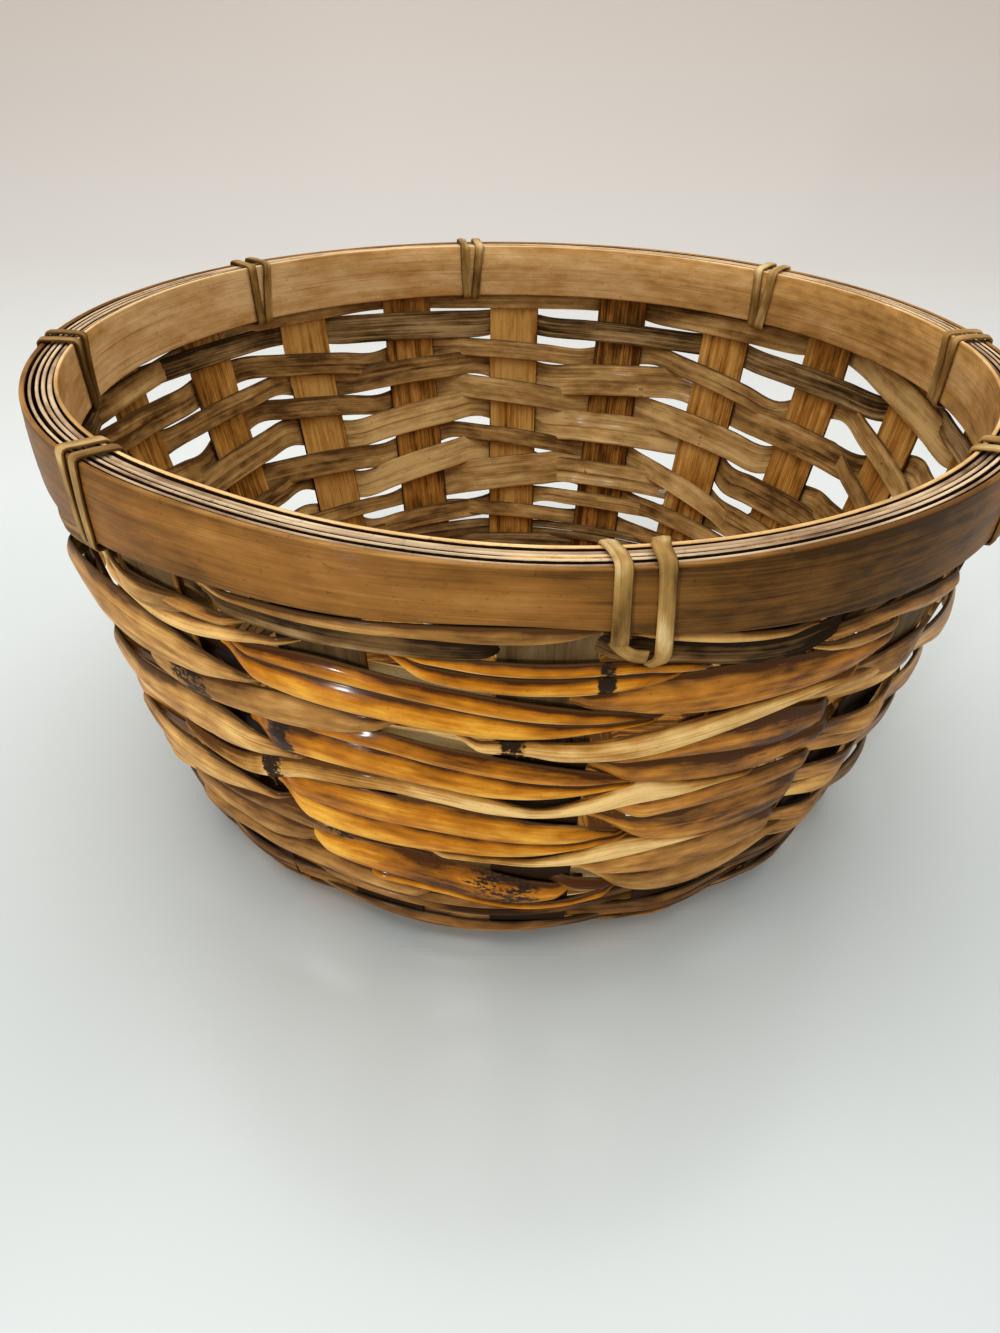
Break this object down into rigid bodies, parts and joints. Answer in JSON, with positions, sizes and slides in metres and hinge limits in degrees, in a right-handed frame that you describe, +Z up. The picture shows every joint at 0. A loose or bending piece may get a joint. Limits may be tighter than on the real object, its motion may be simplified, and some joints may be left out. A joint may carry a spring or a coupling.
{
  "type": "storage basket",
  "caption": "Round open storage basket woven from split bamboo, tapering to a flat foot, with a lashed hoop rim.",
  "frame": {"origin": "centre of the foot, on the surface that the basket stands on", "axes": "+Z up out of the mouth of the basket, +X to the right and +Y to the back, as the picture is taken from the front"},
  "size_m": [0.2518, 0.2506, 0.1286],
  "materials": {
    "splint": "satin, fine lengthwise bamboo fibres",
    "amber_weaver": "glossy amber bamboo skin with paler edges",
    "pale_weaver": "satin, pale split bamboo, greyed in places",
    "foot_weaver": "satin, darker narrow split bamboo",
    "rim_hoop": "satin red-brown bamboo skin",
    "rim_filler": "matt, cut edges of split bamboo",
    "lashing": "satin, straw-coloured split cane"
  },
  "bodies": {
    "root": {"cross_splint_1": "splint", "cross_splint_2": "splint", "cross_splint_3": "splint", "cross_splint_4": "splint", "foot_weaver_1": "foot_weaver", "foot_weaver_2": "foot_weaver", "foot_weaver_3": "foot_weaver", "foot_weaver_4": "foot_weaver", "foot_weaver_5": "foot_weaver", "foot_weaver_6": "foot_weaver", "foot_weaver_7": "foot_weaver", "inner_rim_filler": "rim_filler", "inner_rim_hoop": "rim_hoop", "lashing_1": "lashing", "lashing_2": "lashing", "lashing_3": "lashing", "lashing_4": "lashing", "lashing_5": "lashing", "lashing_6": "lashing", "lashing_7": "lashing", "lashing_8": "lashing", "long_splint_1": "splint", "long_splint_2": "splint", "long_splint_3": "splint", "long_splint_4": "splint", "long_splint_5": "splint", "outer_rim_filler": "rim_filler", "outer_rim_hoop": "rim_hoop", "weaver_row_01_lower": "amber_weaver", "weaver_row_01_upper": "amber_weaver", "weaver_row_02": "pale_weaver", "weaver_row_03_lower": "amber_weaver", "weaver_row_03_upper": "amber_weaver", "weaver_row_04": "pale_weaver", "weaver_row_05_lower": "amber_weaver", "weaver_row_05_upper": "amber_weaver", "weaver_row_06": "pale_weaver", "weaver_row_07_lower": "amber_weaver", "weaver_row_07_upper": "amber_weaver", "weaver_row_08": "pale_weaver", "weaver_row_09_lower": "amber_weaver", "weaver_row_09_upper": "amber_weaver", "weaver_row_10": "pale_weaver"}
  },
  "joints": []
}
